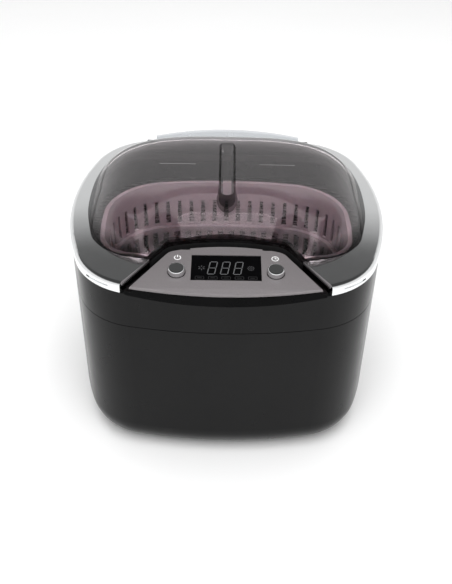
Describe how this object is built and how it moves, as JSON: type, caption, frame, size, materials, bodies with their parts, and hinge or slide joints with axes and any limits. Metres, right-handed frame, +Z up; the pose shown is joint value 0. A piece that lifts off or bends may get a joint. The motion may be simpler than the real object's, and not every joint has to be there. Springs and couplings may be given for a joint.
{
  "type": "ultrasonic cleaner",
  "caption": "Bench-top ultrasonic cleaner: black rounded housing, chromed lid ring with smoked domed window, slotted basket over a steel tank, grey front fascia.",
  "frame": {"origin": "centre of the closed object's outline on the surface its feet stand on", "axes": "+X runs along the width to the user's right, +Y to the hinge at the rear, +Z up; the fascia faces -Y"},
  "size_m": [0.205, 0.1854, 0.1661],
  "materials": {
    "black_gloss": "black moulded housing, satin gloss",
    "black_matte": "fine-textured black moulding",
    "rubber": "matt black rubber",
    "zinc_screw": "zinc-plated screw",
    "stainless": "deep-drawn stainless steel",
    "silicone": "grey silicone",
    "hinge_silver": "polished silver cover",
    "steel_pin": "ground steel pin",
    "fascia": "warm grey metallic lacquer",
    "display_glass": "glossy black lens",
    "display_body": "dark display block",
    "circuit_board": "green solder mask",
    "switch_black": "black switch body",
    "chrome_trim": "polished chrome plating",
    "smoked_clear": "smoke-tinted clear plastic",
    "basket_plastic": "off-white moulding",
    "aluminium": "turned aluminium",
    "piezo_ceramic": "silvered piezo ceramic",
    "brass_sheet": "stamped brass",
    "dark_steel": "turned steel",
    "black_anodised": "black anodised extrusion",
    "epoxy_black": "moulded epoxy",
    "capacitor_sleeve": "shrink sleeve",
    "ferrite_copper": "enamelled copper winding",
    "fuse_glass": "glass tube fuse in clips",
    "nickel": "nickel-plated pin",
    "wire_red": "insulated wire"
  },
  "bodies": {
    "housing": {"base_shell": "black_gloss", "bottom_plate": "black_matte", "rubber_feet": "rubber", "base_screws": "zinc_screw", "shell_screws": "zinc_screw", "upper_shell": "black_gloss", "tank": "stainless", "tank_gasket": "silicone", "hinge_cover": "hinge_silver", "hinge_pins": "steel_pin", "hinge_screws": "zinc_screw", "control_panel": "fascia", "display_window": "display_glass", "display_module": "display_body", "control_board": "circuit_board", "tact_switches": "switch_black", "transducer_front_mass": "aluminium", "piezo_rings": "piezo_ceramic", "electrodes": "brass_sheet", "transducer_back_mass": "dark_steel", "transducer_bolt": "dark_steel", "driver_board": "circuit_board", "board_screws": "zinc_screw", "heat_sink": "black_anodised", "power_transistors": "epoxy_black", "transformer": "epoxy_black", "filter_capacitors": "capacitor_sleeve", "toroid_inductor": "ferrite_copper", "fuse_holder": "fuse_glass", "power_inlet": "black_matte", "inlet_pins": "nickel", "wiring": "wire_red"},
    "power_button": {"power_button": "chrome_trim"},
    "timer_button": {"timer_button": "chrome_trim"},
    "basket": {"basket": "basket_plastic"},
    "lid": {"lid_ring": "chrome_trim", "lid_window": "smoked_clear", "lid_inner_frame": "black_matte", "lid_screws": "zinc_screw"}
  },
  "joints": [
    {"name": "lid_hinge", "type": "hinge", "parent": "housing", "child": "lid", "pos_m": [0, 0.084, 0.1429], "axis": [-1, 0, 0], "range_deg": [0, 95]},
    {"name": "power_press", "type": "slide", "parent": "housing", "child": "power_button", "axis": [0, 0.1184, -0.993], "range_m": [0, 0.0008], "stiffness_N_per_m": 600},
    {"name": "timer_press", "type": "slide", "parent": "housing", "child": "timer_button", "axis": [0, 0.1184, -0.993], "range_m": [0, 0.0008], "stiffness_N_per_m": 600},
    {"name": "basket_lift", "type": "slide", "parent": "housing", "child": "basket", "axis": [0, 0, 1], "range_m": [0, 0.006]}
  ]
}
